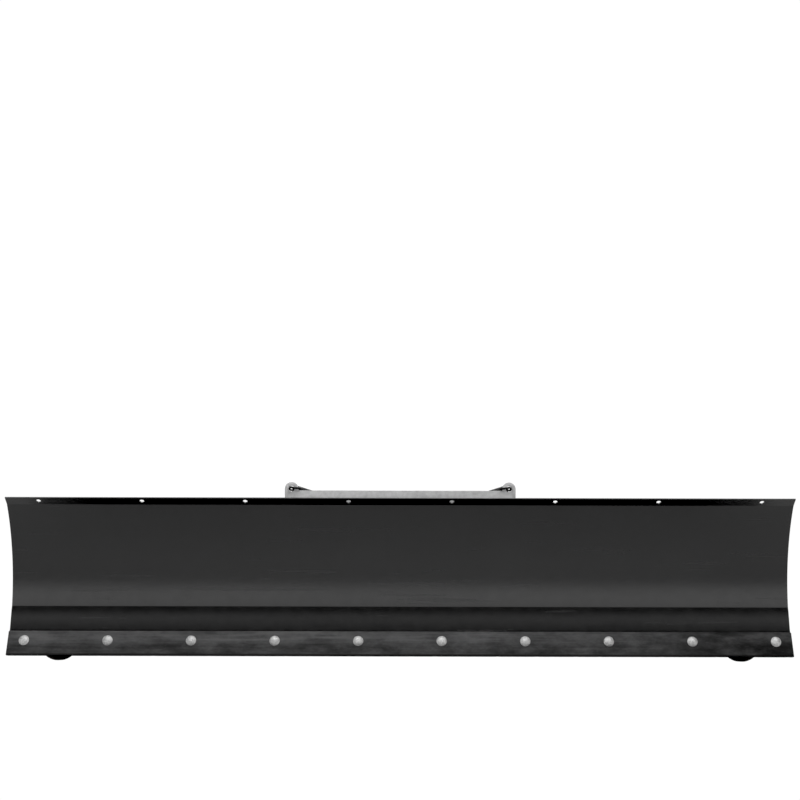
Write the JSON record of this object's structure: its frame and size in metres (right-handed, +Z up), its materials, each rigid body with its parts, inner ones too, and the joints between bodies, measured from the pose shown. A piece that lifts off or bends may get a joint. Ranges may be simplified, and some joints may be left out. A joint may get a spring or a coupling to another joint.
{
  "type": "atv plow blade",
  "caption": "Straight steel plow blade with rolled moldboard, bolted wear bar, turning skid shoes and a sprung trip hinge on a king-pin swing frame.",
  "frame": {"origin": "on the ground under the middle of the assembly's depth, on the blade's centre line", "axes": "+Z up, X along the blade, -Y the way the blade faces and pushes"},
  "size_m": [1.8288, 0.36, 0.432],
  "materials": {
    "black_powder_coat": "semi-gloss black powder coat",
    "wear_steel": "dark hot-rolled steel with mill scale and scuffs",
    "zinc_plate": "bright zinc plate",
    "grey_plate": "light grey galvanised plate",
    "spring_black": "black phosphated spring wire",
    "shoe_black": "black painted cast shoe",
    "rubber": "matt black rubber",
    "black_plastic": "matt black moulded plastic"
  },
  "bodies": {
    "swing_frame": {"cross_tube": "black_powder_coat", "king_plate_top": "black_powder_coat", "king_plate_bottom": "black_powder_coat", "king_collar_top": "black_powder_coat", "king_collar_bottom": "black_powder_coat", "tower_bar": "black_powder_coat", "eyebolt_nuts": "zinc_plate", "pivot_sleeve_left": "black_powder_coat", "frame_arm_left": "black_powder_coat", "cross_plug_left": "black_plastic", "stop_plate_left": "black_powder_coat", "stop_gusset_left": "black_powder_coat", "stop_bumper_left": "rubber", "tower_plate_left": "black_powder_coat", "eyebolt_left": "zinc_plate", "trip_spring_left": "spring_black", "pivot_sleeve_right": "black_powder_coat", "frame_arm_right": "black_powder_coat", "cross_plug_right": "black_plastic", "stop_plate_right": "black_powder_coat", "stop_gusset_right": "black_powder_coat", "stop_bumper_right": "rubber", "tower_plate_right": "black_powder_coat", "eyebolt_right": "zinc_plate", "trip_spring_right": "spring_black"},
    "blade": {"moldboard": "black_powder_coat", "wear_bar": "wear_steel", "wear_bar_bolts": "zinc_plate", "wear_bar_washers": "zinc_plate", "wear_bar_nuts": "zinc_plate", "back_tube": "black_powder_coat", "spring_bar": "grey_plate", "centre_rib": "black_powder_coat", "pivot_bolts": "zinc_plate", "pivot_washers": "zinc_plate", "pivot_nuts": "zinc_plate", "main_rib_left_outer": "black_powder_coat", "main_rib_left_inner": "black_powder_coat", "mid_rib_left": "black_powder_coat", "end_rib_left": "black_powder_coat", "skid_gusset_left_outer": "black_powder_coat", "skid_gusset_left_inner": "black_powder_coat", "skid_tube_left": "black_powder_coat", "main_rib_right_outer": "black_powder_coat", "main_rib_right_inner": "black_powder_coat", "mid_rib_right": "black_powder_coat", "end_rib_right": "black_powder_coat", "skid_gusset_right_outer": "black_powder_coat", "skid_gusset_right_inner": "black_powder_coat", "skid_tube_right": "black_powder_coat"},
    "skid_left": {"skid_shoe_left": "shoe_black", "skid_spacers_left": "zinc_plate", "skid_washer_left": "zinc_plate", "skid_clip_left": "zinc_plate"},
    "skid_right": {"skid_shoe_right": "shoe_black", "skid_spacers_right": "zinc_plate", "skid_washer_right": "zinc_plate", "skid_clip_right": "zinc_plate"}
  },
  "joints": [
    {"name": "blade_trip", "type": "hinge", "parent": "swing_frame", "child": "blade", "pos_m": [0, -0.09501, 0.105], "axis": [1, 0, 0], "range_deg": [0, 25], "stiffness_Nm_per_rad": 115, "springref_deg": -20.05, "deforming": ["trip_spring_left", "trip_spring_right"]},
    {"name": "skid_left_turn", "type": "hinge", "parent": "blade", "child": "skid_left", "pos_m": [-0.826, -0.03401, 0], "axis": [0, 0, 1], "continuous": true},
    {"name": "skid_right_turn", "type": "hinge", "parent": "blade", "child": "skid_right", "pos_m": [0.826, -0.03401, 0], "axis": [0, 0, 1], "continuous": true}
  ]
}
